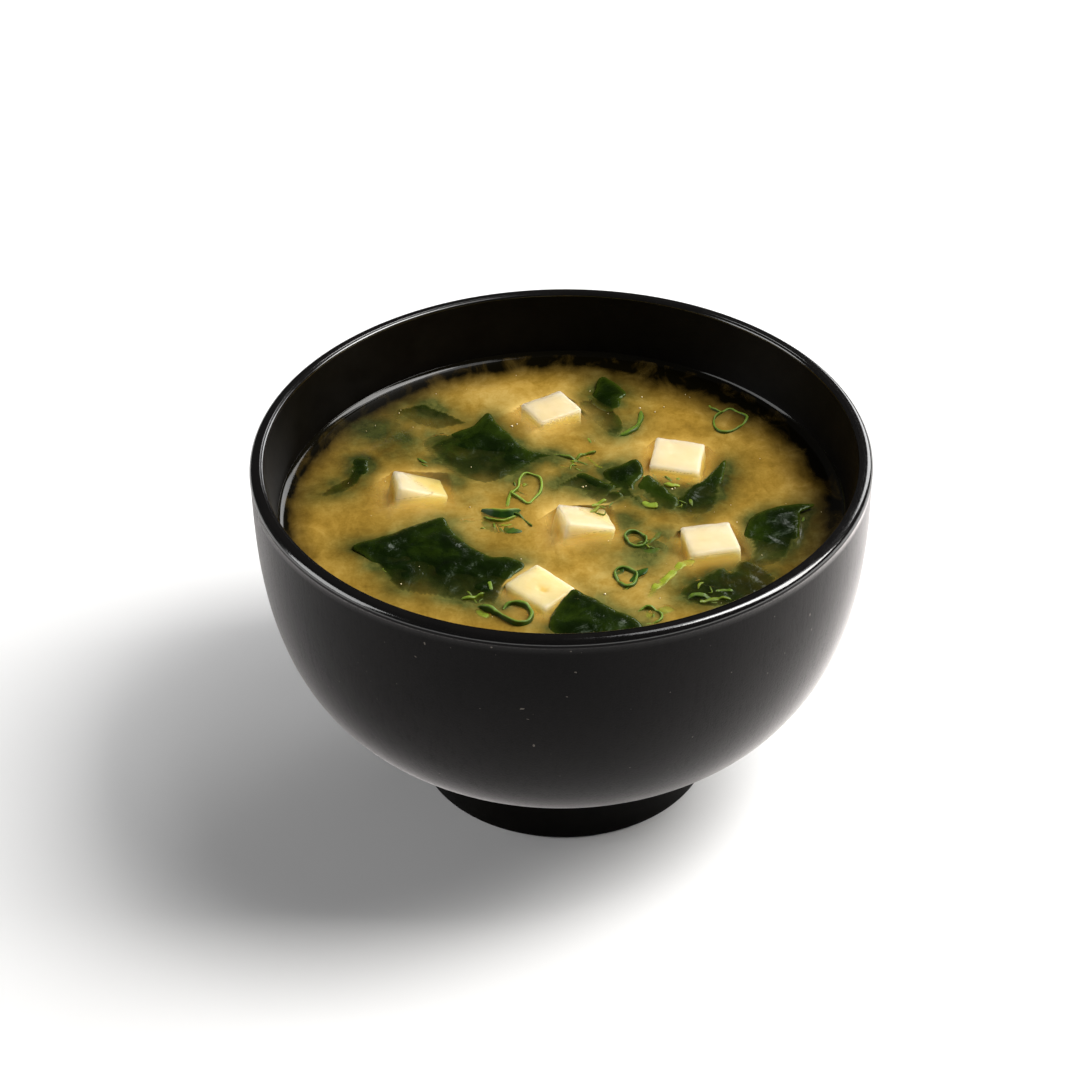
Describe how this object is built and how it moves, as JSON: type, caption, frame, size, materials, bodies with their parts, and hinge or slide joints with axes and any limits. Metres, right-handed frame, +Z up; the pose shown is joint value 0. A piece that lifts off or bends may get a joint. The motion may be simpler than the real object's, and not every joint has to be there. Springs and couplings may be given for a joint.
{
  "type": "miso soup in a bowl",
  "caption": "Round footed soup bowl in satin black with a glossy lip, filled with cloudy miso soup, diced tofu, wakame leaves and sliced scallion.",
  "frame": {"origin": "middle of the foot ring's underside, on the surface that the bowl stands on", "axes": "+Z up along the bowl's axis, +X to the right and +Y away from the viewer in the pictured view"},
  "size_m": [0.115, 0.115, 0.0703],
  "materials": {
    "bowl": "satin black outside, glossy lip and inside",
    "soup": "wet cloudy ochre broth",
    "tofu": "moist cream bean curd",
    "greens": "wet dark green leaf"
  },
  "bodies": {
    "root": {"bowl": "bowl", "soup": "soup", "tofu_1": "tofu", "tofu_2": "tofu", "tofu_3": "tofu", "tofu_4": "tofu", "tofu_5": "tofu", "tofu_6": "tofu", "wakame_1": "greens", "wakame_2": "greens", "wakame_3": "greens", "wakame_4": "greens", "wakame_5": "greens", "wakame_6": "greens", "wakame_7": "greens", "wakame_8": "greens"}
  },
  "joints": []
}
